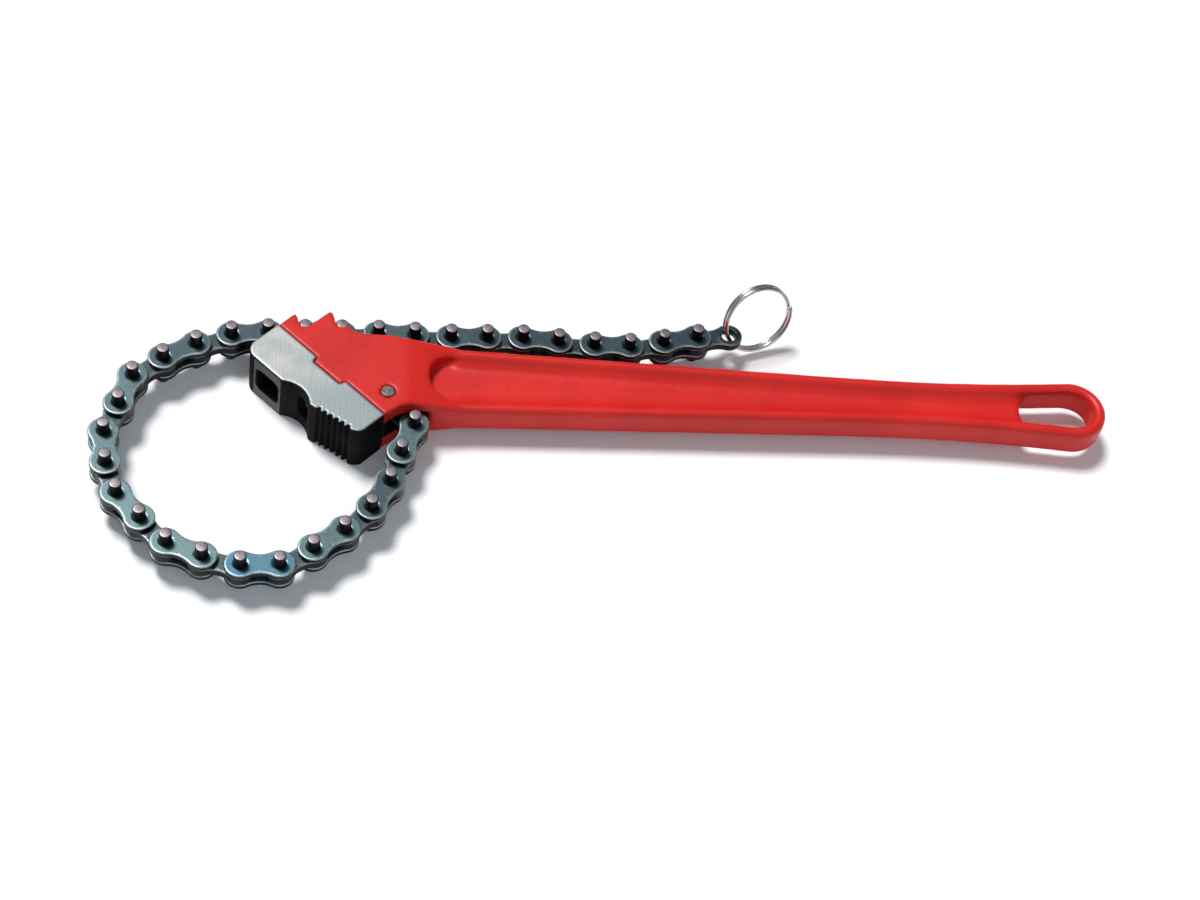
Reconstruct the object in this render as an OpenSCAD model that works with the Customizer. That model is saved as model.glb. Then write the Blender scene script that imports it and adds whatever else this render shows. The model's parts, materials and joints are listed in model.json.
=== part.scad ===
// Chain pipe wrench of the 12-inch class, lying on its side with the chain hooked into a loop.
// X runs along the handle to its eye, Y to the back edge and Z up, all in millimetres.
// The origin is on the anchor pin's axis, on the plane that the head lies on.

/* [Chain] */
// Distance between neighbouring pins of the chain
pitch = 12.7; // [11.5:0.1:14]
// Radius of the round ends of the outer plates
plate_r = 5.2; // [4.5:0.1:5.6]
// Half the width of an outer plate at its waist
plate_waist = 3.7; // [3:0.1:4.2]
// Thickness of an outer plate
plate_t = 2; // [1.5:0.1:2.4]
// Radius of the round ends of the inner links
inner_r = 4.9; // [4.4:0.1:5.2]
// Half the width of an inner link at its waist
inner_waist = 3.4; // [2.8:0.1:4]
// Thickness of an inner link
inner_t = 3.2; // [2.6:0.1:3.8]
// Diameter of the chain pins
pin_d = 4.2; // [3.6:0.1:4.6]
// Bevel round the ends of the pins
pin_bevel = 0.4; // [0.2:0.1:0.6]
// Diameter of the ring's hole in the last link
ring_hole_d = 5.4; // [5:0.1:5.8]

/* [Head] */
// Width of the head across its two cheeks
head_w = 20; // [18.5:0.5:22]
// Diameter of the anchor pin
anchor_d = 4.8; // [4.4:0.1:5.4]
// Distance from the jaw's nose to the first hooked pin, along the handle
hook_back = 9.3; // [8:0.1:10]
// Height of the first horn's tip above the pin that it hooks
horn_h = 2.9; // [2.4:0.1:4]
// How much higher the second horn stands
horn_rise = 1.2; // [0:0.1:2]
// Distance from the anchor pin to the jaw's bed
bed_v = 7.8; // [7.6:0.1:9]
// How far the bed's key stands into the jaw
key_h = 2.3; // [1.5:0.1:3]

/* [Jaw] */
// Length of the jaw from heel to nose
jaw_l = 52; // [50:0.5:54]
// Reach of the jaw behind the anchor pin, towards the heel
heel_u = 6.4; // [6:0.1:7.5]
// Depth of the jaw from its bed to its pads
jaw_h = 16; // [14:0.5:18]
// Radius of the heel's corner
heel_r = 4; // [3:0.5:6]
// How far the heel pad falls towards the heel
heel_fall = 2.9; // [1:0.1:4]
// Radius of the nose's corner
nose_r = 5; // [4:0.5:6]
// Spacing of the teeth on the heel pad
tooth_pitch = 2.4; // [2:0.1:3]
// Depth of the teeth
tooth_h = 1.7; // [1:0.1:2]

/* [Handle] */
// Length of the wrench from the jaw's nose to the end of the eye
overall_l = 305; // [290:1:330]
// Distance of the handle's axis behind the anchor pin
axis_y = 10; // [9.5:0.1:10.5]
// Thickness of the handle's rim
handle_t = 12; // [10:0.5:14]
// Thickness of the web between the rims
web_t = 5; // [4:0.5:7]
// Width of the rim
rim_w = 4.6; // [4:0.1:5.5]
// Rounding of the rim's edges
rim_round = 1.9; // [1:0.1:2]
// Width of the fillet between the web and the rim
fillet_w = 3.2; // [1:0.1:4]
// Height of that fillet
fillet_h = 2.2; // [1:0.1:2.4]
// Half the handle's width where it leaves the head
root_hw = 14; // [13.5:0.1:14.2]
// Half the handle's width at its neck
neck_hw = 9.8; // [9:0.1:11]
// Radius of the eye at the handle's end
eye_r = 12.2; // [11.5:0.1:13.5]
// Length of the hanging hole
hole_l = 26.5; // [22:0.5:32]

/* [Ring] */
// Mean radius of the split ring
ring_r = 12.7; // [11.5:0.1:14]
// Diameter of the ring's wire
wire_d = 1.5; // [1.2:0.1:1.6]

/* [Hidden] */
outer_count = 16;
inner_count = outer_count + 1;
link_count = outer_count + inner_count;
hook_link = 21;
lead_heading = -42;
// How each link of the loop lies off an even arc, and how each link of the tail lies to the handle
loop_lay = [0, 16, 17, 16, 20, 28, 11, 8, 12, 2, 11, 3, 3, -9, 5, -14, -10, -6, -7, 0];
tail_lay = [3, 3, 0, 0, 3, 3, -4, -3, 1, 12, 14, 14];

side_play = 0.1;
run_gap = 0.05;
fit_gap = 0.02;
slot_gap = 0.3;
swing_gap = 0.9;
seat_gap = 0.25;
tang_gap = 0.2;
lead_gap = 2;
tail_gap = 0.6;
nose_gap = 2.1;
pin_inset = 1.5;
step = 0.2;
over = 1;
$fn = 96;

chain_w = inner_t + 2 * (plate_t + side_play);
slot_w = chain_w + 2 * slot_gap;
pin_l = head_w - 2 * pin_inset;
pin_r = pin_d / 2;
notch_r = pin_r + seat_gap;
anchor_r = anchor_d / 2;
mid_z = head_w / 2;

// The jaw's own plane: u runs along the bed from heel to nose and v out towards the pipe
bed_angle = 135;
nose_u = jaw_l - heel_u;
pad_v = bed_v + jaw_h;
function plan(u, v) = [u * cos(bed_angle) - v * sin(bed_angle), u * sin(bed_angle) + v * cos(bed_angle)];

// The chain as it lies: the loop's even turn is found so that it closes on the hooked pin.
// The hooked pin clears both the handle's back edge and the jaw's nose.
nose_corner = plan(nose_u, bed_v);
hook_y = max(axis_y + root_hw + plate_r - tail_gap / 2, nose_corner.y + nose_gap);
hook_at = [nose_corner.x + hook_back, hook_y];
lead_end = pitch * [cos(lead_heading), sin(lead_heading)];
loop_span = hook_at - lead_end;
function steps(headings) = [for (h = headings) pitch * [cos(h), sin(h)]];
function total(v, i = 0) = i < len(v) ? v[i] + total(v, i + 1) : [0, 0];
function loop_shape(turn) = [for (i = [0 : len(loop_lay) - 1]) i * turn + loop_lay[i]];
function reach(turn) = norm(total(steps(loop_shape(turn))));
function closing_turn(lo, hi, n) =
    let(mid = (lo + hi) / 2)
    n == 0 ? mid
    : reach(mid) > norm(loop_span) ? closing_turn(lo, mid, n - 1)
    : closing_turn(mid, hi, n - 1);
even_turn = closing_turn(-16, -9, 40);
loop_end = total(steps(loop_shape(even_turn)));
loop_start = atan2(loop_span.y, loop_span.x) - atan2(loop_end.y, loop_end.x);
headings = concat([lead_heading], [for (h = loop_shape(even_turn)) h + loop_start], tail_lay);
function pin_list(i = 0, at = [0, 0]) =
    i == link_count ? [at]
    : concat([at], pin_list(i + 1, at + pitch * [cos(headings[i]), sin(headings[i])]));
pins = pin_list();
hook_a = pins[hook_link];
hook_b = pins[hook_link + 1];

// Places along the jaw's bed and on its pads
key_u = [13, 26];
key_draft = 0.6;
horn_lean = 0.25;
horn_bevel = 0.5;
// Foot of each horn's slope and the place of its shoulder, seen from the pin that it hooks
horn_foot = [[-8.1, -1.1], [-9.5, -0.4]];
horn_shoulder = [-4.9, -5.3];
// Points inside a seat's circle where its two sides begin, in radii of the seat
seat_sides = [[-0.85, -0.4], [0.6, -0.15]];
// Fall of the back edge behind the second pin
back_fall = [[2.8, -3], [4.8, -4.2], [7.2, -4.7]];
// Edge of the head under the first link, from the handle to the heel
throat = [[14, -4.2], [8.5, -4.6], [4.3, -6]];
relief = 2.7;
relief_u = [13.4, 27];
pocket_u = [[15.8, 21.6], [28.8, 39]];
pocket_w = 9.6;
pocket_r = 2;
pocket_depth = 6;
ear_r = 5.6;
tang_end = 26;
tang_edge = 1;
heel_at = [heel_r - heel_u, pad_v - heel_fall - heel_r];
pad_end = [relief_u[0], pad_v];
pad_tilt = atan2(pad_end.y - heel_at.y, pad_end.x - heel_at.x) - asin(heel_r / norm(pad_end - heel_at));
pad_start = heel_at + heel_r * [-sin(pad_tilt), cos(pad_tilt)];
tooth_w = 0.84 * tooth_pitch;
tooth_lap = 0.2;
tooth_count = floor(norm(pad_end - pad_start) / tooth_pitch);

// The handle's edge: a straight taper, then an arc that meets the eye's circle
root_x = 24;
neck_x = 168;
flat_x = 7;
nose_x = plan(nose_u - nose_r, pad_v - nose_r).x - nose_r;
eye_x = nose_x + overall_l - eye_r;
taper = atan2(root_hw - neck_hw, neck_x - root_x);
neck_to_eye = [neck_x - eye_x, neck_hw];
edge_out = [sin(taper), cos(taper)];
flare_r = (neck_to_eye * neck_to_eye - eye_r * eye_r) / (2 * (eye_r - neck_to_eye * edge_out));
flare_at = [neck_x, neck_hw] + flare_r * edge_out;
flare_angle = atan2(eye_x - flare_at.x, flare_at.y) + taper;
eye_hole_r = eye_r - rim_w;
hole_end = eye_x + eye_hole_r - hole_l;
fillet_angle = asin((hole_end - over - flare_at.x) / flare_r) + taper;

function numbered(name, k) = str(name, k < 10 ? "_0" : "_", k);

// A prism of the given height that is centred on the wrench's middle plane
module slab(h) {
    translate([0, 0, mid_z - h / 2]) linear_extrude(h) children();
}

module jaw_plane() {
    rotate(bed_angle) children();
}

// Figure-eight plate: two round ends and a waist drawn in by two tangent arcs
module eight(end_r, waist) {
    waist_r = (pitch * pitch / 4 + waist * waist - end_r * end_r) / (2 * (end_r - waist));
    touch = end_r / (end_r + waist_r) * [pitch / 2, waist + waist_r];
    circle(end_r);
    translate([pitch, 0]) circle(end_r);
    difference() {
        translate([touch.x, -touch.y]) square([pitch - 2 * touch.x, 2 * touch.y]);
        for (side = [-1, 1]) translate([pitch / 2, side * (waist + waist_r)]) circle(waist_r);
    }
}

// Places a link that lies from its own first pin along X
module at_link(i) {
    translate(pins[i - 1]) rotate(headings[i - 1]) children();
}

// Space that the chain needs in the slot behind the hooks, open to the back
module hook_slot() {
    drop = plate_r + swing_gap;
    floor_pts = [for (i = [hook_link - 3 : hook_link + 2]) pins[i] - [0, drop / cos(headings[i - 1])]];
    open_y = hook_y + 2 * pitch;
    slab(slot_w) polygon(concat(
        floor_pts,
        [[floor_pts[len(floor_pts) - 1].x, open_y], [floor_pts[0].x, open_y]]));
}

// The tang between the cheeks, grown by a gap for the pocket that takes it
module tang_shape(gap) {
    circle(ear_r + gap);
    polygon([
        [-ear_r - gap, 0],
        [-ear_r - gap, bed_v + gap],
        [tang_end + gap, bed_v + gap],
        [tang_end + gap, tang_edge],
        [tang_end - ear_r, -ear_r - gap],
        [0, -ear_r - gap]]);
}

// Lane that the first link runs out through
module lead_lane(r) {
    circle(r);
    rotate(lead_heading) translate([0, step - r]) square([2 * pitch, 2 * (r - step)]);
}

// Plan of the head with its horns; the hooked pins' seats are cut round
module head_shape() {
    bed = [
        plan(-heel_u, bed_v),
        plan(key_u[0] - key_draft, bed_v),
        plan(key_u[0], bed_v + key_h),
        plan(key_u[1], bed_v + key_h),
        plan(key_u[1] + key_draft, bed_v),
        plan(nose_u, bed_v)];
    difference() {
        polygon(concat(
            bed,
            horn(hook_a, horn_foot[0], [horn_shoulder[0], horn_h]),
            horn(hook_b, horn_foot[1], [horn_shoulder[1], horn_h + horn_rise]),
            [for (p = back_fall) hook_b + p],
            [[root_x, axis_y + root_hw], [root_x, axis_y - root_hw]],
            throat));
        for (hook = [hook_a, hook_b]) translate(hook) circle(notch_r);
    }
}

// Points of one horn beside the pin at p: a slope up from the foot, a blunt tip and a steep face to the pin
function horn(p, foot, shoulder) =
    let(
        low = shoulder.y - horn_bevel,
        face = [-notch_r - horn_lean * low, low])
    concat(
        [p + foot],
        [p + shoulder - [0, horn_bevel], p + shoulder + [horn_bevel, 0]],
        [p + face + horn_bevel * [-0.75, 1], p + face],
        [for (side = seat_sides) p + notch_r * side]);

// Section of the rim, with its corners rounded; it stands a little proud towards the eye
module rim_section(proud = 0) {
    core = [rim_w - 2 * rim_round, handle_t - 2 * rim_round];
    corner = rim_round + proud;
    square([core.x, core.y + 2 * corner], center = true);
    square([core.x + 2 * corner, core.y], center = true);
    for (x = [-1, 1], y = [-1, 1]) translate([x * core.x / 2, y * core.y / 2]) circle(corner);
}

// Section of the fillets on both faces of the web, beside the rim
module fillet_section() {
    inner = [-rim_w / 2 - fillet_w, (web_t - step) / 2];
    outer = [-rim_round / 2, web_t / 2 + fillet_h];
    polygon([outer, inner, [inner.x, -inner.y], [outer.x, -outer.y]]);
}

// One edge of the rim with half of the eye, with the handle's axis along X
module half_rim() {
    mid = rim_w / 2;
    straight = norm([neck_x - root_x, root_hw - neck_hw]);
    lap = over / flare_r * 180 / PI;
    translate([root_x, root_hw, mid_z]) rotate([0, 0, -taper]) translate([0, -mid, 0])
        rotate([90, 0, 90]) linear_extrude(straight + over) {
            rim_section();
            fillet_section();
        }
    translate([flare_at.x, flare_at.y, mid_z]) rotate([0, 0, -90 - taper])
        rotate_extrude(angle = flare_angle + lap) translate([flare_r + mid, 0]) rim_section(step / 2);
    translate([flare_at.x, flare_at.y, mid_z]) rotate([0, 0, -90 - taper])
        rotate_extrude(angle = fillet_angle) translate([flare_r + mid, 0]) mirror([1, 0]) fillet_section();
    translate([eye_x, 0, mid_z]) rotate_extrude(angle = 90 + flare_angle - taper)
        translate([eye_r - mid, 0]) rim_section(step);
}

// Plan of the web, from inside the head to the eye, short of the hanging hole
module web_shape() {
    inset = rim_w / 2;
    difference() {
        polygon([
            [root_x - root_hw, root_hw - inset],
            [root_x, root_hw - inset],
            [neck_x, neck_hw - inset],
            [eye_x, neck_hw - inset],
            [eye_x, inset - neck_hw],
            [neck_x, inset - neck_hw],
            [root_x, inset - root_hw],
            [root_x - root_hw, inset - root_hw]]);
        translate([hole_end + eye_hole_r, 0]) circle(eye_hole_r);
        translate([hole_end + eye_hole_r, -root_hw]) square([2 * eye_r, 2 * root_hw]);
    }
}

module handle() {
    slope = atan2((head_w - handle_t) / 2, root_x - flat_x);
    color("#d93a36") difference() {
        union() {
            difference() {
                slab(head_w) head_shape();
                // both faces fall from the cheeks to the rim
                for (side = [0, 1]) translate([flat_x, 0, mid_z]) mirror([0, 0, side])
                    translate([0, 0, mid_z]) rotate([0, slope, 0]) translate([0, -head_w * 2, 0])
                        cube([head_w * 3, head_w * 6, head_w]);
                // rounded start of the panel on each face
                for (side = [-1, 1]) translate([root_x, axis_y, mid_z + side * (web_t + head_w) / 2])
                    cylinder(r = root_hw - rim_w, h = head_w, center = true);
            }
            translate([0, axis_y, 0]) {
                slab(web_t) web_shape();
                for (side = [0, 1]) mirror([0, side, 0]) half_rim();
            }
        }
        hook_slot();
        slab(slot_w) jaw_plane() tang_shape(tang_gap);
        slab(slot_w) lead_lane(plate_r + lead_gap);
        translate([0, 0, -over]) cylinder(r = anchor_r + fit_gap, h = head_w + 2 * over);
    }
}

// Plan of the jaw's block: keyed back, rounded heel and nose, and a round relief between the pads
module jaw_shape() {
    half = (relief_u[1] - relief_u[0]) / 2;
    relief_r = (half * half + relief * relief) / (2 * relief);
    difference() {
        union() {
            polygon([
                [-heel_u, bed_v],
                [key_u[0] - key_draft, bed_v],
                [key_u[0], bed_v + key_h],
                [key_u[1], bed_v + key_h],
                [key_u[1] + key_draft, bed_v],
                [nose_u, bed_v],
                [nose_u, pad_v - nose_r],
                [nose_u - nose_r, pad_v],
                pad_end,
                pad_start,
                [-heel_u, heel_at.y]]);
            translate(heel_at) circle(heel_r);
            translate([nose_u - nose_r, pad_v - nose_r]) circle(nose_r);
        }
        translate([relief_u[0] + half, pad_v - relief + relief_r]) circle(relief_r);
    }
}

// Rounded pocket into the pads, along the bed from span[0] to span[1]
module pocket(span) {
    core = [span[1] - span[0] - 2 * pocket_r, pocket_w - 2 * pocket_r];
    middle = [(span[0] + span[1]) / 2, pad_v - pocket_depth, mid_z];
    translate(middle) rotate([-90, 0, 0]) linear_extrude(jaw_h) {
        square([core.x, pocket_w], center = true);
        square([core.x + 2 * pocket_r, core.y], center = true);
        for (x = [-1, 1], y = [-1, 1]) translate([x * core.x / 2, y * core.y / 2]) circle(pocket_r);
    }
}

module jaw() {
    tooth = [[-tooth_w / 2, tooth_lap], [tooth_w / 2, tooth_lap], [0, -tooth_h]];
    color("#8f9094") difference() {
        union() {
            slab(head_w) jaw_plane() jaw_shape();
            slab(slot_w - 2 * side_play) jaw_plane() tang_shape(0);
        }
        slab(head_w + 2 * over) jaw_plane() translate(pad_start) rotate(pad_tilt)
            for (k = [1 : tooth_count]) translate([(k - 0.5) * tooth_pitch, 0]) polygon(tooth);
        jaw_plane() for (span = pocket_u) pocket(span);
        // the ears leave room for the first link between them
        slab(inner_t + 2 * side_play) lead_lane(inner_r + swing_gap);
        hook_slot();
        translate([0, 0, -over]) cylinder(r = anchor_r + run_gap, h = head_w + 2 * over);
    }
}

// Round pin with bevelled ends
module round_pin(r, h) {
    translate([0, 0, mid_z - h / 2]) {
        translate([0, 0, pin_bevel]) cylinder(r = r, h = h - 2 * pin_bevel);
        cylinder(r1 = r - pin_bevel, r2 = r, h = pin_bevel);
        translate([0, 0, h - pin_bevel]) cylinder(r1 = r, r2 = r - pin_bevel, h = pin_bevel);
    }
}

module anchor_pin() {
    color("#77706f") round_pin(anchor_r, head_w - pin_bevel);
}

// The first link turns on the anchor pin and the last one carries the ring
module inner_link(k) {
    near_r = k == 1 ? anchor_r + run_gap : pin_r + run_gap;
    far_r = k == inner_count ? ring_hole_d / 2 : pin_r + run_gap;
    color("#7d8892") at_link(2 * k - 1) slab(inner_t) difference() {
        eight(inner_r, inner_waist);
        circle(near_r);
        translate([pitch, 0]) circle(far_r);
    }
}

module outer_plates(k) {
    color("#8a96a0") at_link(2 * k) for (side = [-1, 1])
        translate([0, 0, side * (chain_w - plate_t) / 2]) slab(plate_t) difference() {
            eight(plate_r, plate_waist);
            for (x = [0, pitch]) translate([x, 0]) circle(pin_r + fit_gap);
        }
}

module link_pins(k) {
    color("#b9bbbd") at_link(2 * k) for (x = [0, pitch]) translate([x, 0, 0]) round_pin(pin_r, pin_l);
}

// Split ring: two coils of round wire, one on the other, that both pass the last link's hole
ring_heading = 28;
ring_lift = 24;
ring_lean = -19;
coil_turns = 1.94;
coil_gap = 0.08;
wire_sides = 10;
coil_rings = 76;
function coil_point(t, s) =
    let(
        around = 360 * coil_turns * (t - 0.5),
        r = ring_r + wire_d / 2 * cos(360 * s),
        rise = (wire_d + coil_gap) * coil_turns * (t - 0.5) + wire_d / 2 * sin(360 * s))
    [r * cos(around), r * sin(around), rise];

module coil() {
    rings = [for (i = [0 : coil_rings], j = [0 : wire_sides - 1])
        coil_point(i / coil_rings, j / wire_sides)];
    walls = [for (i = [0 : coil_rings - 1], j = [0 : wire_sides - 1])
        let(a = i * wire_sides, k = (j + 1) % wire_sides)
        [a + j, a + k, a + wire_sides + k, a + wire_sides + j]];
    first = [for (j = [wire_sides - 1 : -1 : 0]) j];
    last = [for (j = [0 : wire_sides - 1]) coil_rings * wire_sides + j];
    polyhedron(rings, concat(walls, [first, last]));
}

module split_ring() {
    hole = pins[link_count];
    color("#b7b9bb") translate([hole.x, hole.y, mid_z])
        rotate([0, 0, ring_heading]) rotate([0, -ring_lift, 0]) rotate([90 + ring_lean, 0, 0])
            translate([ring_r, 0, 0]) coil();
}

handle();
jaw();
anchor_pin();
split_ring();
for (k = [1 : inner_count]) inner_link(k);
for (k = [1 : outer_count]) outer_plates(k);
for (k = [1 : outer_count]) link_pins(k);
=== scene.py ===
import json
import math
import bpy
import numpy as np
from mathutils import Matrix, Vector


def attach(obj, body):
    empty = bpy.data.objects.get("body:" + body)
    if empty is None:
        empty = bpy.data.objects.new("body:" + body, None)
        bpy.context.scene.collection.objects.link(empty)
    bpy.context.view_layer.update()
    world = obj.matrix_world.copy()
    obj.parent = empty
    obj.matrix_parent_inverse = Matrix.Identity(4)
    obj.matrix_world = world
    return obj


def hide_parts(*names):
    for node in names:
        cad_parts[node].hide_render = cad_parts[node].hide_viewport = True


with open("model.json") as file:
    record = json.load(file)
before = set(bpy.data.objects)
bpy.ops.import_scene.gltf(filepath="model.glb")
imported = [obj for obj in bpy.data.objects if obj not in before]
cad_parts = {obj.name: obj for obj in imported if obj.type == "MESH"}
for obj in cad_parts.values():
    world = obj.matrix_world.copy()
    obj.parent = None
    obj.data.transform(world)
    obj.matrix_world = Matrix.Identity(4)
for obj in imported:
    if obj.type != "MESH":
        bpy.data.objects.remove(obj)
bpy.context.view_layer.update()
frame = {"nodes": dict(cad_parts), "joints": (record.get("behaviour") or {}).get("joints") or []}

nodes = frame["nodes"]
scene = bpy.context.scene
scene.view_settings.view_transform = "Standard"
midPlane = 0.010  # half the head's width: slot, chain and pins are centred on it


# camera: the photo's place, worked out from the chain's even pitch
cameraSet = dict(
    place=(-0.04061, -0.48937, 0.65325),
    heading=13.5,
    down=52.75,
    roll=13.36,
    focalPixels=2348,
    photoWidth=1200,
    sensor=36.0,
    clip=(0.01, 20.0),
)


def makeCamera(s):
    data = bpy.data.cameras.new("photoCamera")
    data.sensor_width = s["sensor"]
    data.lens = s["sensor"] * (s["focalPixels"] / s["photoWidth"])
    data.clip_start, data.clip_end = s["clip"]
    cam = bpy.data.objects.new("photoCamera", data)
    scene.collection.objects.link(cam)
    h, d, r = (math.radians(s[k]) for k in ("heading", "down", "roll"))
    level = Vector((math.sin(h), math.cos(h), 0))
    forward = level * math.cos(d) - Vector((0, 0, math.sin(d)))
    right0 = Vector((math.cos(h), -math.sin(h), 0))  # before the roll
    up0 = right0.cross(forward)
    right = right0 * math.cos(r) + up0 * math.sin(r)
    up = up0 * math.cos(r) - right0 * math.sin(r)
    turn = Matrix((right, up, -forward)).transposed()
    cam.matrix_world = Matrix.Translation(s["place"]) @ turn.to_4x4()
    scene.camera = cam
    print("camera ready, lens", round(data.lens, 2))


makeCamera(cameraSet)


# light: a soft source behind to the left, a weak fill in front and a pale room
lightSet = dict(
    key=dict(place=(-0.52, 0.62, 1.75), strength=3.15, angle=17.0),
    fill=dict(place=(0.30, -0.80, 0.80), size=(1.2, 0.8), watts=2.5),
    target=(0.03, 0.0, 0.0),
    sky=0.20,
    skyTint=(0.78, 0.92, 1.10),
)


def addLamp(name, kind, place, target):
    data = bpy.data.lights.new(name, kind)
    lamp = bpy.data.objects.new(name, data)
    scene.collection.objects.link(lamp)
    lamp.location = place
    aim = Vector(target) - Vector(place)
    lamp.rotation_mode = "QUATERNION"
    lamp.rotation_quaternion = aim.to_track_quat("-Z", "Y")
    return data


def makeLight(s):
    key = addLamp("keyLight", "SUN", s["key"]["place"], s["target"])
    key.energy = s["key"]["strength"]
    key.angle = math.radians(s["key"]["angle"])
    fill = addLamp("fillLight", "AREA", s["fill"]["place"], s["target"])
    fill.shape = "RECTANGLE"
    fill.size, fill.size_y = s["fill"]["size"]
    fill.energy = s["fill"]["watts"]
    world = bpy.data.worlds.new("paleRoom")
    scene.world = world
    world.use_nodes = True
    room = world.node_tree.nodes["Background"]
    room.inputs["Color"].default_value = s["skyTint"] + (1.0,)
    room.inputs["Strength"].default_value = s["sky"]
    print("light ready")


makeLight(lightSet)


# floor: a pale table that keeps the shadow, lifted a little to white
floorSet = dict(half=40.0, level=0.0, albedo=0.90, lift=0.04)


def makeFloor(s):
    mesh = bpy.data.meshes.new("tableTop")
    a, z = s["half"], s["level"]
    mesh.from_pydata([(-a, -a, z), (a, -a, z), (a, a, z), (-a, a, z)], [], [(0, 1, 2, 3)])
    floor = bpy.data.objects.new("tableTop", mesh)
    scene.collection.objects.link(floor)
    mat = bpy.data.materials.new("paleTable")
    mat.use_nodes = True
    tree = mat.node_tree
    tree.nodes.clear()
    out = tree.nodes.new("ShaderNodeOutputMaterial")
    matte = tree.nodes.new("ShaderNodeBsdfDiffuse")
    glow = tree.nodes.new("ShaderNodeEmission")
    add = tree.nodes.new("ShaderNodeAddShader")
    matte.inputs["Color"].default_value = (s["albedo"],) * 3 + (1.0,)
    glow.inputs["Strength"].default_value = s["lift"]
    tree.links.new(matte.outputs[0], add.inputs[0])
    tree.links.new(glow.outputs[0], add.inputs[1])
    tree.links.new(add.outputs[0], out.inputs["Surface"])
    mesh.materials.append(mat)
    print("floor ready")


makeFloor(floorSet)


# node helpers: a plain number or colour is set on the socket, anything else is linked to it
def feed(tree, socket, value):
    if isinstance(value, (int, float)):
        socket.default_value = value
    elif isinstance(value, tuple):
        socket.default_value = value + (1.0,)
    else:
        tree.links.new(value, socket)


def mathNode(tree, kind, *values):
    node = tree.nodes.new("ShaderNodeMath")
    node.operation = kind
    for socket, value in zip(node.inputs, values):
        feed(tree, socket, value)
    return node.outputs[0]


def rangeNode(tree, value, lo, hi, outLo=0.0, outHi=1.0):
    node = tree.nodes.new("ShaderNodeMapRange")
    node.interpolation_type = "SMOOTHSTEP"
    for socket, v in zip(node.inputs, (value, lo, hi, outLo, outHi)):
        feed(tree, socket, v)
    return node.outputs[0]


def mixColour(tree, share, a, b):
    node = tree.nodes.new("ShaderNodeMix")
    node.data_type = "RGBA"
    for place, v in ((0, share), (6, a), (7, b)):  # the node's sockets for colours
        feed(tree, node.inputs[place], v)
    return node.outputs[2]


def noiseNode(tree, vector, scale, detail=3.0, rough=0.55):
    node = tree.nodes.new("ShaderNodeTexNoise")
    for label, v in (("Vector", vector), ("Scale", scale), ("Detail", detail), ("Roughness", rough)):
        feed(tree, node.inputs[label], v)
    return node.outputs["Fac"]


# the place's own axes, and its distance from the head's mid plane
def splitPlace(tree, vector):
    split = tree.nodes.new("ShaderNodeSeparateXYZ")
    tree.links.new(vector, split.inputs[0])
    depth = mathNode(tree, "ABSOLUTE", mathNode(tree, "SUBTRACT", split.outputs["Z"], midPlane))
    return split.outputs, depth


def facingUp(tree, lo, hi):
    split = tree.nodes.new("ShaderNodeSeparateXYZ")
    tree.links.new(tree.nodes.new("ShaderNodeNewGeometry").outputs["Normal"], split.inputs[0])
    return rangeNode(tree, mathNode(tree, "ABSOLUTE", split.outputs["Z"]), lo, hi)


# shared effects: groups whose inputs each material sets for itself
def newGroup(name, inputs, outputs):
    group = bpy.data.node_groups.new(name, "ShaderNodeTree")
    for label, value in inputs.items():
        kind = "NodeSocketVector" if isinstance(value, tuple) else "NodeSocketFloat"
        group.interface.new_socket(name=label, in_out="INPUT", socket_type=kind).default_value = value
    for label in outputs:
        group.interface.new_socket(name=label, in_out="OUTPUT", socket_type="NodeSocketFloat")
    return group, group.nodes.new("NodeGroupInput").outputs, group.nodes.new("NodeGroupOutput").inputs


# edge wear: the mesh's own sharpness, broken up by noise
wearSet = dict(Vector=(0.0, 0.0, 0.0), Low=0.52, High=0.60, Scale=900.0, Ragged=0.06)


def makeEdgeWear(s):
    group, inp, out = newGroup("edgeWear", s, ("Mask",))
    sharp = group.nodes.new("ShaderNodeNewGeometry").outputs["Pointiness"]
    noise = mathNode(group, "SUBTRACT", noiseNode(group, inp["Vector"], inp["Scale"]), 0.5)
    ragged = mathNode(group, "ADD", sharp, mathNode(group, "MULTIPLY", noise, inp["Ragged"]))
    group.links.new(rangeNode(group, ragged, inp["Low"], inp["High"]), out["Mask"])
    return group


# grain: coarse mottling, fine tooth and drawn scratches along one direction
grainSet = dict(Vector=(0.0, 0.0, 0.0), Coarse=60.0, Fine=2200.0, Stretch=(1.0, 1.0, 1.0))
grainNoise = dict(Mottle=(3.0, 0.5), Tooth=(2.0, 0.6), Lines=(2.0, 0.7))  # detail and roughness


def makeGrain(s, noise):
    group, inp, out = newGroup("metalGrain", s, noise)
    pull = group.nodes.new("ShaderNodeVectorMath")
    pull.operation = "MULTIPLY"
    group.links.new(inp["Vector"], pull.inputs[0])
    group.links.new(inp["Stretch"], pull.inputs[1])
    sources = dict(Mottle=(inp["Vector"], inp["Coarse"]), Tooth=(inp["Vector"], inp["Fine"]))
    sources["Lines"] = (pull.outputs[0], inp["Fine"])
    for label, source in sources.items():
        group.links.new(noiseNode(group, *source, *noise[label]), out[label])
    return group


edgeWear = makeEdgeWear(wearSet)
metalGrain = makeGrain(grainSet, grainNoise)
print("shared effects ready")


def newMaterial(name):
    mat = bpy.data.materials.new(name)
    mat.use_nodes = True
    tree = mat.node_tree
    shader = tree.nodes["Principled BSDF"]
    coords = tree.nodes.new("ShaderNodeTexCoord").outputs["Object"]
    return mat, tree, shader, coords


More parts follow.
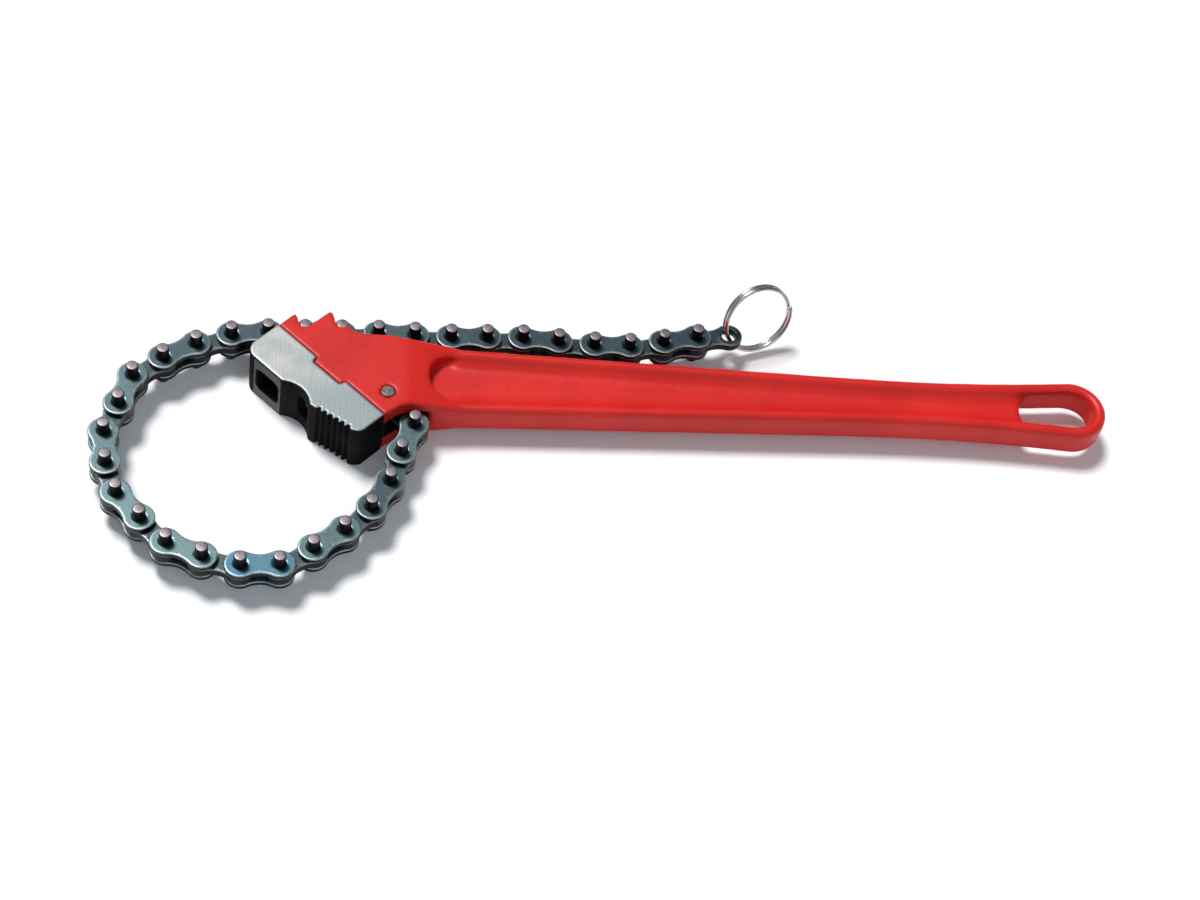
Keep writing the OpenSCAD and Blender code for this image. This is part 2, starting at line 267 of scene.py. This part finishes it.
def placeGroup(tree, group, coords, values):
    node = tree.nodes.new("ShaderNodeGroup")
    node.node_tree = group
    tree.links.new(coords, node.inputs["Vector"])
    for key, value in values.items():
        node.inputs[key].default_value = value
    return node.outputs


def bumpInto(tree, shader, height, strength, distance):
    bump = tree.nodes.new("ShaderNodeBump")
    bump.inputs["Strength"].default_value = strength
    bump.inputs["Distance"].default_value = distance
    tree.links.new(height, bump.inputs["Height"])
    tree.links.new(bump.outputs[0], shader.inputs["Normal"])


# In the material settings a pair is where a change starts and ends, two more numbers are the values
# it runs between, and bump holds strength and distance.

# red enamel over a casting, with painted shade inside the chain's slot
paintSet = dict(
    colour=(0.640, 0.018, 0.012),
    deep=(0.550, 0.013, 0.010),
    brightEdge=(0.740, 0.065, 0.045),
    slotShade=(0.012, 0.008, 0.008),
    grain=dict(Coarse=45.0, Fine=1100.0),
    wear=dict(Low=0.53, High=0.62, Scale=500.0),
    wornShare=0.5,
    mottle=(0.3, 0.7),
    slotWall=(0.0041, 0.0044),
    slotEnd=(0.014, 0.015),
    rough=(0.3, 0.7, 0.36, 0.48),
    lumps=260.0,
    lumpShare=1.6,
    bump=(0.10, 0.0005),
    specular=0.25,
    coat=0.05,
    coatRough=0.2,
)


def makePaint(s):
    mat, tree, shader, coords = newMaterial("redEnamel")
    grain = placeGroup(tree, metalGrain, coords, s["grain"])
    wear = placeGroup(tree, edgeWear, coords, s["wear"])
    place, depth = splitPlace(tree, coords)
    base = mixColour(tree, rangeNode(tree, grain["Mottle"], *s["mottle"]), s["deep"], s["colour"])
    base = mixColour(tree, mathNode(tree, "MULTIPLY", wear["Mask"], s["wornShare"]), base, s["brightEdge"])
    # painted shade: inside the chain's slot at the head the enamel is turned near black
    inSlot = mathNode(tree, "SUBTRACT", 1.0, rangeNode(tree, depth, *s["slotWall"]))
    inHead = mathNode(tree, "SUBTRACT", 1.0, rangeNode(tree, place["X"], *s["slotEnd"]))
    base = mixColour(tree, mathNode(tree, "MULTIPLY", inSlot, inHead), base, s["slotShade"])
    tree.links.new(base, shader.inputs["Base Color"])
    tree.links.new(rangeNode(tree, grain["Tooth"], *s["rough"]), shader.inputs["Roughness"])
    lumps = mathNode(tree, "MULTIPLY", noiseNode(tree, coords, s["lumps"]), s["lumpShare"])
    bumpInto(tree, shader, mathNode(tree, "ADD", grain["Tooth"], lumps), *s["bump"])
    shader.inputs["Specular IOR Level"].default_value = s["specular"]
    shader.inputs["Coat Weight"].default_value = s["coat"]
    shader.inputs["Coat Roughness"].default_value = s["coatRough"]
    return mat


# jaw: black oxide, with the two side faces ground bright and duller towards the heel
jawSet = dict(
    oxide=(0.004, 0.0032, 0.0029),
    dust=(0.017, 0.0125, 0.0110),
    ground=(0.42, 0.412, 0.385),
    tint=(0.315, 0.338, 0.333),
    heel=(0.255, 0.288, 0.288),
    grain=dict(Coarse=70.0, Fine=1500.0, Stretch=(1.0, 0.06, 1.0)),
    wear=dict(Low=0.54, High=0.66, Scale=900.0),
    wornShare=0.35,
    band=0.0003,  # how far below the ground faces the oxide starts
    bandFull=0.4,
    dusty=(0.35, 0.75),
    tinted=(0.4, 0.65),
    lines=(0.35, 0.7),
    lineShare=0.25,
    heelToNose=(-0.006, 0.012),
    metal=0.75,
    oxideRough=0.68,
    groundSmoother=0.26,
    lineRough=0.16,
    bump=(0.12, 0.0003),
    specular=0.10,
)


def makeJaw(s):
    mat, tree, shader, coords = newMaterial("oxideJaw")
    grain = placeGroup(tree, metalGrain, coords, s["grain"])
    wear = placeGroup(tree, edgeWear, coords, s["wear"])
    place, depth = splitPlace(tree, coords)
    ragged = mathNode(tree, "MULTIPLY", mathNode(tree, "SUBTRACT", grain["Tooth"], 0.5), s["band"])
    rim = mathNode(tree, "ADD", depth, ragged)
    flat = rangeNode(tree, rim, midPlane - s["band"], midPlane - s["band"] * s["bandFull"])
    oxide = mixColour(tree, rangeNode(tree, grain["Mottle"], *s["dusty"]), s["oxide"], s["dust"])
    oxide = mixColour(tree, mathNode(tree, "MULTIPLY", wear["Mask"], s["wornShare"]), oxide, s["ground"])
    ground = mixColour(tree, rangeNode(tree, grain["Mottle"], *s["tinted"]), s["ground"], s["tint"])
    lines = mathNode(tree, "MULTIPLY", rangeNode(tree, grain["Lines"], *s["lines"]), s["lineShare"])
    ground = mixColour(tree, lines, ground, s["tint"])
    ground = mixColour(tree, rangeNode(tree, place["Y"], *s["heelToNose"]), s["heel"], ground)
    tree.links.new(mixColour(tree, flat, oxide, ground), shader.inputs["Base Color"])
    tree.links.new(mathNode(tree, "MULTIPLY", flat, s["metal"]), shader.inputs["Metallic"])
    dull = mathNode(tree, "SUBTRACT", s["oxideRough"], mathNode(tree, "MULTIPLY", flat, s["groundSmoother"]))
    drawn = mathNode(tree, "MULTIPLY", grain["Lines"], s["lineRough"])
    tree.links.new(mathNode(tree, "ADD", dull, drawn), shader.inputs["Roughness"])
    bumpInto(tree, shader, mathNode(tree, "ADD", grain["Lines"], grain["Tooth"]), *s["bump"])
    shader.inputs["Specular IOR Level"].default_value = s["specular"]
    return mat


# blued plates: dark sides, a painted highlight along the eased edges by the "rim" attribute, and a heat
# colour for each link by "temper", which runs from steel over pale to blue and drifts a little within a
# plate
platesSet = dict(
    steel=(0.064, 0.093, 0.108),
    pale=(0.118, 0.190, 0.197),
    blue=(0.066, 0.163, 0.235),
    edge=(0.66, 0.70, 0.70),
    side=(0.008, 0.008, 0.008),
    grain=dict(Coarse=42.0, Fine=1800.0),
    drift=0.5,
    toPale=(0.0, 0.5),
    toBlue=(0.6, 0.9),
    specks=(0.45, 0.75, 0.0, 0.25),
    facing=(0.25, 0.6),
    brightEdge=(0.25, 0.6, 0.35, 0.80),
    innerShade=0.35,
    metal=0.85,
    rough=(0.3, 0.75, 0.30, 0.48),
    bump=(0.10, 0.0002),
)


def makePlates(s, name, dark=0.0):
    mat, tree, shader, coords = newMaterial(name)
    grain = placeGroup(tree, metalGrain, coords, s["grain"])
    rim, temper = (tree.nodes.new("ShaderNodeAttribute") for n in range(2))
    rim.attribute_name, temper.attribute_name = "rim", "temper"
    drift = mathNode(tree, "MULTIPLY", mathNode(tree, "SUBTRACT", grain["Mottle"], 0.5), s["drift"])
    heat = mathNode(tree, "ADD", temper.outputs["Fac"], drift)
    tone = mixColour(tree, rangeNode(tree, heat, *s["toPale"]), s["steel"], s["pale"])
    tone = mixColour(tree, rangeNode(tree, heat, *s["toBlue"]), tone, s["blue"])
    tone = mixColour(tree, rangeNode(tree, grain["Tooth"], *s["specks"]), tone, s["side"])
    tone = mixColour(tree, facingUp(tree, *s["facing"]), s["side"], tone)
    # painted highlight: the rim mark, broken up by the fine grain, lays a bright line along the eased edges
    brightEdge = mathNode(tree, "MULTIPLY", rim.outputs["Fac"], rangeNode(tree, grain["Tooth"], *s["brightEdge"]))
    tone = mixColour(tree, brightEdge, tone, s["edge"])
    # painted shade: the inner links, between the outer plates, are mixed a share of the way to the dark side
    # colour
    if dark:
        tone = mixColour(tree, dark, tone, s["side"])
    tree.links.new(tone, shader.inputs["Base Color"])
    shader.inputs["Metallic"].default_value = s["metal"]
    tree.links.new(rangeNode(tree, grain["Tooth"], *s["rough"]), shader.inputs["Roughness"])
    bumpInto(tree, shader, grain["Tooth"], *s["bump"])
    return mat


# chain pins: black sides, partly black oxide and partly painted shade, and bare, stained cut ends
cutPinSet = dict(
    side=(0.003, 0.003, 0.003),
    end=(0.24, 0.21, 0.22),
    stain=(0.11, 0.095, 0.095),
    grain=dict(Coarse=420.0, Fine=2600.0, Stretch=(1.0, 0.1, 1.0)),
    facing=(0.55, 0.9),
    stained=(0.4, 0.75, 0.0, 0.7),
    metal=0.8,
    rough=(0.3, 0.7, 0.34, 0.5),
    bump=(0.12, 0.0002),
    specular=0.1,
)


def makeCutPin(s):
    mat, tree, shader, coords = newMaterial("cutPin")
    grain = placeGroup(tree, metalGrain, coords, s["grain"])
    up = facingUp(tree, *s["facing"])
    end = mixColour(tree, rangeNode(tree, grain["Mottle"], *s["stained"]), s["end"], s["stain"])
    # partly oxide, partly painted shade: faces that do not face up or down take the near-black side colour
    tree.links.new(mixColour(tree, up, s["side"], end), shader.inputs["Base Color"])
    tree.links.new(mathNode(tree, "MULTIPLY", up, s["metal"]), shader.inputs["Metallic"])
    tree.links.new(rangeNode(tree, grain["Lines"], *s["rough"]), shader.inputs["Roughness"])
    bumpInto(tree, shader, grain["Lines"], *s["bump"])
    shader.inputs["Specular IOR Level"].default_value = s["specular"]
    return mat


# bare metal in two tones: the anchor pin, stained by the paint shop, and the ring's nickel wire
stainedPinSet = dict(
    light=(0.17, 0.155, 0.145),
    dark=(0.06, 0.05, 0.048),
    grain=dict(Coarse=520.0, Fine=2400.0),
    mottle=(0.35, 0.65),
    metal=0.6,
    rough=(0.3, 0.7, 0.4, 0.6),
    bump=(0.2, 0.0003),
)
nickelSet = dict(
    light=(0.66, 0.65, 0.62),
    dark=(0.42, 0.40, 0.38),
    grain=dict(Coarse=160.0, Fine=2600.0),
    mottle=(0.4, 0.7),
    metal=1.0,
    rough=(0.3, 0.7, 0.16, 0.30),
    bump=(0.05, 0.0002),
)


def makeBareMetal(s, name):
    mat, tree, shader, coords = newMaterial(name)
    grain = placeGroup(tree, metalGrain, coords, s["grain"])
    tone = mixColour(tree, rangeNode(tree, grain["Mottle"], *s["mottle"]), s["light"], s["dark"])
    tree.links.new(tone, shader.inputs["Base Color"])
    shader.inputs["Metallic"].default_value = s["metal"]
    tree.links.new(rangeNode(tree, grain["Tooth"], *s["rough"]), shader.inputs["Roughness"])
    bumpInto(tree, shader, grain["Tooth"], *s["bump"])
    return mat


redEnamel = makePaint(paintSet)
oxideJaw = makeJaw(jawSet)
bluedSteel = makePlates(platesSet, "bluedSteel")
# the inner links' steel carries painted shade for their place between the outer plates
innerSteel = makePlates(platesSet, "innerSteel", platesSet["innerShade"])
cutPin = makeCutPin(cutPinSet)
stainedPin = makeBareMetal(stainedPinSet, "stainedPin")
nickelWire = makeBareMetal(nickelSet, "nickelWire")
print("materials ready")


def dress(obj, mat):
    obj.data.materials.clear()
    obj.data.materials.append(mat)


# castings: the solid's skin is meshed evenly and its corners are eased
castingSet = dict(
    joinAt=1e-6,
    easeShare=0.5,
    handle=dict(voxel=0.0006, rounds=6, drawIn=0.00015),  # filled inside corners stay clear of the chain
    jaw=dict(voxel=0.00034, rounds=4, drawIn=0.0),
)


def easeCasting(s, name, mat):
    obj, own = nodes[name], s[name]
    dress(obj, mat)
    weld = obj.modifiers.new("joinSkin", "WELD")
    weld.merge_threshold = s["joinAt"]
    skin = obj.modifiers.new("evenSkin", "REMESH")
    skin.mode = "VOXEL"
    skin.voxel_size = own["voxel"]
    skin.use_smooth_shade = True
    ease = obj.modifiers.new("easedCorners", "SMOOTH")
    ease.factor = s["easeShare"]
    ease.iterations = own["rounds"]
    if own["drawIn"]:
        shrink = obj.modifiers.new("drawnIn", "DISPLACE")
        shrink.mid_level = 0.0
        shrink.strength = -own["drawIn"]
    print(name, "eased at", own["voxel"])


easeCasting(castingSet, "handle", redEnamel)
easeCasting(castingSet, "jaw", oxideJaw)


# shaft: rounder than the head, so its skin is averaged further, with a weight that rises along x;
# on the head only the outer faces are, from the crease to the web's run-in
shaftSet = dict(rounds=12, shaft=(0.016, 0.034), crease=(0.003, 0.006), face=(0.0048, 0.0062))


def softenShaft(s):
    group = bpy.data.node_groups.new("softShaft", "GeometryNodeTree")
    for way in ("INPUT", "OUTPUT"):
        group.interface.new_socket(name="Geometry", in_out=way, socket_type="NodeSocketGeometry")
    inp, out = group.nodes.new("NodeGroupInput"), group.nodes.new("NodeGroupOutput")
    spot = group.nodes.new("GeometryNodeInputPosition").outputs[0]
    blur = group.nodes.new("GeometryNodeBlurAttribute")
    blur.data_type = "FLOAT_VECTOR"
    blur.inputs["Iterations"].default_value = s["rounds"]
    place, depth = splitPlace(group, spot)
    onFace = rangeNode(group, depth, *s["face"])
    onHead = mathNode(group, "MULTIPLY", rangeNode(group, place["X"], *s["crease"]), onFace)
    weight = mathNode(group, "MAXIMUM", rangeNode(group, place["X"], *s["shaft"]), onHead)
    group.links.new(weight, blur.inputs["Weight"])
    group.links.new(spot, next(v for v in blur.inputs if v.name == "Value" and v.enabled))
    move = group.nodes.new("GeometryNodeSetPosition")
    group.links.new(inp.outputs[0], move.inputs["Geometry"])
    group.links.new(next(v for v in blur.outputs if v.enabled), move.inputs["Position"])
    group.links.new(move.outputs[0], out.inputs[0])
    nodes["handle"].modifiers.new("softShaft", "NODES").node_group = group
    print("shaft softened")


softenShaft(shaftSet)


# new pieces: vertices that meet are made one, corners that repeat and faces left with two drop out,
# and the skin is turned outwards; marks are values for each vertex that a material reads
meshSet = dict(meet=2e-7)


def meshPiece(name, verts, quads, mat, body, stands, **marks):
    grid = np.round(verts / meshSet["meet"]).astype(np.int64)
    first, inverse = np.unique(grid, axis=0, return_index=True, return_inverse=True)[1:]
    verts = verts[first]
    quads = inverse.ravel()[quads]
    a, b, c, d = (verts[quads[:, n]] for n in range(4))
    if np.einsum("ij,ij->", a, np.cross(b, c) + np.cross(c, d)) < 0:
        quads = quads[:, ::-1]
    fresh = np.stack([(quads[:, :n] != quads[:, n : n + 1]).all(1) for n in range(4)], 1)
    whole = fresh.sum(1) > 2
    quads, fresh = quads[whole], fresh[whole]
    corners, sizes = quads[fresh], fresh.sum(1)
    mesh = bpy.data.meshes.new(name)
    mesh.vertices.add(len(verts))
    mesh.vertices.foreach_set("co", verts.ravel())
    mesh.loops.add(len(corners))
    mesh.loops.foreach_set("vertex_index", corners)
    mesh.polygons.add(len(sizes))
    mesh.polygons.foreach_set("loop_start", np.cumsum(sizes) - sizes)
    mesh.polygons.foreach_set("use_smooth", np.ones(len(sizes), bool))
    for label, values in marks.items():
        mesh.attributes.new(label, "FLOAT", "POINT").data.foreach_set("value", values[first])
    mesh.update(calc_edges=True)
    piece = bpy.data.objects.new(name, mesh)
    scene.collection.objects.link(piece)
    dress(piece, mat)
    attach(piece, body)
    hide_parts(stands)


def placed(verts, start, heading, lift=0.0):
    c, s = math.cos(heading), math.sin(heading)
    turn = np.array([[c, -s, 0], [s, c, 0], [0, 0, 1]])
    return verts @ turn.T + np.array([start[0], start[1], midPlane + lift])


def joinParts(parts):
    offsets = np.cumsum([0] + [len(v) for v, q in parts[:-1]])
    verts = np.concatenate([v for v, q in parts])
    return verts, np.concatenate([q + o for (v, q), o in zip(parts, offsets)])


# chain: the pins' places come from the hinges, all else from here
chainSet = dict(
    pitch=0.0127,
    outer=dict(endR=0.0052, waist=0.0037, thick=0.0020, hole=0.00212, ease=0.00040, lip=0.00015),
    inner=dict(endR=0.0049, waist=0.0034, thick=0.0032, hole=0.00215, ease=0.00045, lip=0.00020),
    firstHole=0.00245,
    lastHole=0.0027,
    outerLift=0.0027,
    outerTemper=(0.30, 0.08, 0.35, 0.84, 0.45, 0.52, 0.28, 0.22)  # loop, from the anchor pin
    + (0.10, 0.12, 0.08, 0.12, 0.10, 0.05, 0.10, 0.05),  # on to the ring
    innerTemper=0.15,
    pin=dict(r=0.0021, half=0.0085, bevel=0.00042, dome=0.00006, around=40),
)


# half outline of a figure-eight plate: waist arc, round end, waist arc, then the straight middle line;
# the waist's radius is the one that touches both round ends
def halfOutline(pitch, endR, waist, arcSteps=9, endSteps=34, midSteps=6):
    waistR = (pitch**2 / 4 + waist**2 - endR**2) / (2 * (endR - waist))
    hub = np.array([pitch / 2, -(waist + waistR)])
    touch = endR / (endR + waistR) * hub
    stop = math.atan2(*(touch - hub)[::-1])
    a = np.linspace(math.pi / 2, stop, arcSteps)[:-1]
    low = hub + waistR * np.stack([np.cos(a), np.sin(a)], 1)
    lowN = (hub - low) / waistR
    start = math.atan2(touch[1], touch[0])
    b = np.linspace(start, -start - 2 * math.pi, endSteps)
    endN = np.stack([np.cos(b), np.sin(b)], 1)
    flip = np.array([1.0, -1.0])
    y = np.linspace(waist, -waist, midSteps + 2)[1:-1]
    middle = np.stack([np.full_like(y, pitch / 2), y], 1)
    points = np.concatenate([low, endR * endN, (low * flip)[::-1], middle])
    normals = np.concatenate([lowN, endN, (lowN * flip)[::-1], np.zeros_like(middle)])
    edge = np.arange(len(points)) < len(points) - midSteps
    return points, normals, edge


# plate: for each outline point a closed section runs up the hole's wall, over its lip, across the
# top, round the eased edge, down the side and back along the bottom; the second half is the first
# turned half round, and shine is most in the middle of the eased edge
def plateSurface(pitch, p, holes, faceSteps=5, easeSteps=4, brim=0.35):
    ease, lip, half = p["ease"], p["lip"], p["thick"] / 2
    points, normals, edge = halfOutline(pitch, p["endR"], p["waist"])
    count = len(points)
    inset = points - ease * normals
    inset[~edge, 1] *= (p["waist"] - ease) / p["waist"]
    ray = points / np.linalg.norm(points, axis=1, keepdims=True)
    phi = np.linspace(0, math.pi / 2, easeSteps + 1)[1:]
    shine = np.concatenate([np.zeros(faceSteps + 1), [brim], np.sin(2 * phi) ** 2])
    shine = np.concatenate([shine, shine[::-1]])
    deep = len(shine)
    i, j = np.meshgrid(np.arange(count), np.arange(deep), indexing="ij")
    nextI, nextJ = (i + 1) % count, (j + 1) % deep
    quads = np.stack([i * deep + j, nextI * deep + j, nextI * deep + nextJ, i * deep + nextJ], -1)
    firstEdge = faceSteps + 1
    outer = (j >= firstEdge) & (j < deep - 1 - firstEdge)
    quads = quads[~outer | (edge[i] & edge[nextI])]  # open where the halves meet
    allVerts = []
    for hole in holes:
        wall, lipRing = ray * hole, ray * (hole + lip)
        rows = [(wall, half - lip)]
        rows += [(lipRing + (inset - lipRing) * f, half) for f in np.linspace(0, 1, faceSteps + 1)]
        rows += [(inset + ease * normals * math.sin(t), half - ease + ease * math.cos(t)) for t in phi]
        rows += [(xy, -z) for xy, z in rows[::-1]]
        allVerts.append(np.stack([np.column_stack([xy, np.full(count, z)]) for xy, z in rows], 1))
    allVerts[1][..., 0] = pitch - allVerts[1][..., 0]
    allVerts[1][..., 1] *= -1
    verts, quads = joinParts([(v.reshape(-1, 3), quads) for v in allVerts])
    return verts, quads, np.tile(np.outer(edge, shine).ravel(), len(holes))


# pin: a profile with a slight dome and eased ends, turned about its axis
def pinSurface(p, easeSteps=4, capAt=(0.0, 0.4, 0.75), capRise=(1.0, 0.8, 0.4)):
    half, bevel, around = p["half"], p["bevel"], p["around"]
    flatR = p["r"] - bevel
    t = np.linspace(0, math.pi / 2, easeSteps + 1)
    rad = np.concatenate([np.array(capAt) * flatR, flatR + bevel * np.sin(t)])
    z = np.concatenate([half + p["dome"] * np.array(capRise), half - bevel + bevel * np.cos(t)])
    rad, z = np.concatenate([rad, rad[::-1]]), np.concatenate([z, -z[::-1]])
    a = np.linspace(0, 2 * math.pi, around, endpoint=False)
    ring = np.stack([np.outer(np.cos(a), rad), np.outer(np.sin(a), rad), np.tile(z, (around, 1))], -1)
    deep = len(rad)
    i, j = np.meshgrid(np.arange(around), np.arange(deep - 1), indexing="ij")
    k = (i + 1) % around
    quads = np.stack([i * deep + j, i * deep + j + 1, k * deep + j + 1, k * deep + j], -1).reshape(-1, 4)
    return ring.reshape(-1, 3), quads


def makeInner(s, link, last, start, heading):
    k = (link + 1) // 2
    hole = s["inner"]["hole"]
    holes = (s["firstHole"] if link == 1 else hole, s["lastHole"] if link == last else hole)
    v, q, rim = plateSurface(s["pitch"], s["inner"], holes)
    v = placed(v, start, heading)
    marks = dict(rim=rim, temper=np.full_like(rim, s["innerTemper"]))
    meshPiece(f"innerLink{k:02d}", v, q, innerSteel, f"link_{link:02d}", f"inner_link_{k:02d}", **marks)


def makeOuter(s, link, start, end, heading):
    k = link // 2
    body = f"link_{link:02d}"
    v, q, rim = plateSurface(s["pitch"], s["outer"], (s["outer"]["hole"],) * 2)
    pair = joinParts([(placed(v, start, heading, z), q) for z in (s["outerLift"], -s["outerLift"])])
    rim = np.tile(rim, 2)
    marks = dict(rim=rim, temper=np.full_like(rim, s["outerTemper"][k - 1]))
    meshPiece(f"outerPlates{k:02d}", *pair, bluedSteel, body, f"outer_plates_{k:02d}", **marks)
    v, q = pinSurface(s["pin"])
    pair = joinParts([(placed(v, at, heading), q) for at in (start, end)])
    meshPiece(f"linkPins{k:02d}", *pair, cutPin, body, f"link_pins_{k:02d}")


def makeChain(s):
    places = {j["name"]: j["pos_m"][:2] for j in frame["joints"]}
    ringAt = places.pop("ring_swing")
    spots = np.array([places[name] for name in sorted(places)] + [ringAt])
    last = len(places)
    for link in range(1, last + 1):
        start, end = spots[link - 1], spots[link]
        heading = math.atan2(*(end - start)[::-1])
        if link % 2:
            makeInner(s, link, last, start, heading)
        else:
            makeOuter(s, link, start, end, heading)
    print("chain ready,", last, "links")
    return spots


chainSpots = makeChain(chainSet)


# split ring: a round section carried along two turns of a flat coil, rounded off at both ends
ringSet = dict(
    radius=0.0127,
    wire=0.0015,
    turns=1.94,
    gap=0.00008,
    heading=28.0,
    lift=24.0,
    lean=-19.0,
    along=220,
    around=16,
)


def makeRing(s, hole):
    radius, wireR, n = s["radius"], s["wire"] / 2, s["around"]
    t = np.linspace(0, 1, s["along"])
    a = np.linspace(0, 2 * math.pi, n, endpoint=False)
    turn = 2 * math.pi * s["turns"] * (t - 0.5)
    run = radius * 2 * math.pi * s["turns"]
    near = np.minimum(t, 1 - t) * run / wireR
    thin = np.sqrt(np.clip(1 - (1 - np.minimum(near, 1)) ** 2, 0, 1))
    r = radius + wireR * np.outer(thin, np.cos(a))
    climb = (s["wire"] + s["gap"]) * s["turns"] * (t - 0.5)
    rise = climb[:, None] + wireR * np.outer(thin, np.sin(a))
    coil = np.stack([r * np.cos(turn)[:, None] + radius, r * np.sin(turn)[:, None], rise], -1)
    swing = Matrix.Identity(3)
    for angle, axis in ((s["heading"], "Z"), (-s["lift"], "Y"), (90 + s["lean"], "X")):
        swing = swing @ Matrix.Rotation(math.radians(angle), 3, axis)
    verts = coil.reshape(-1, 3) @ np.array(swing).T + np.array([hole[0], hole[1], midPlane])
    i, j = np.meshgrid(np.arange(s["along"] - 1), np.arange(n), indexing="ij")
    k = (j + 1) % n
    quads = np.stack([i * n + j, i * n + k, (i + 1) * n + k, (i + 1) * n + j], -1).reshape(-1, 4)
    meshPiece("splitRing", verts, quads, nickelWire, "ring", "split_ring")
    print("ring ready")


makeRing(ringSet, chainSpots[-1])


# anchor pin: turned bar with eased ends, on the frame's own axis
anchorPinSet = dict(r=0.0024, half=0.0098, bevel=0.0004, dome=0.00005, around=56)


def makeAnchorPin(s):
    v, q = pinSurface(s)
    meshPiece("anchorPin", placed(v, (0.0, 0.0), 0.0), q, stainedPin, "frame", "anchor_pin")
    print("anchor pin ready")


makeAnchorPin(anchorPinSet)
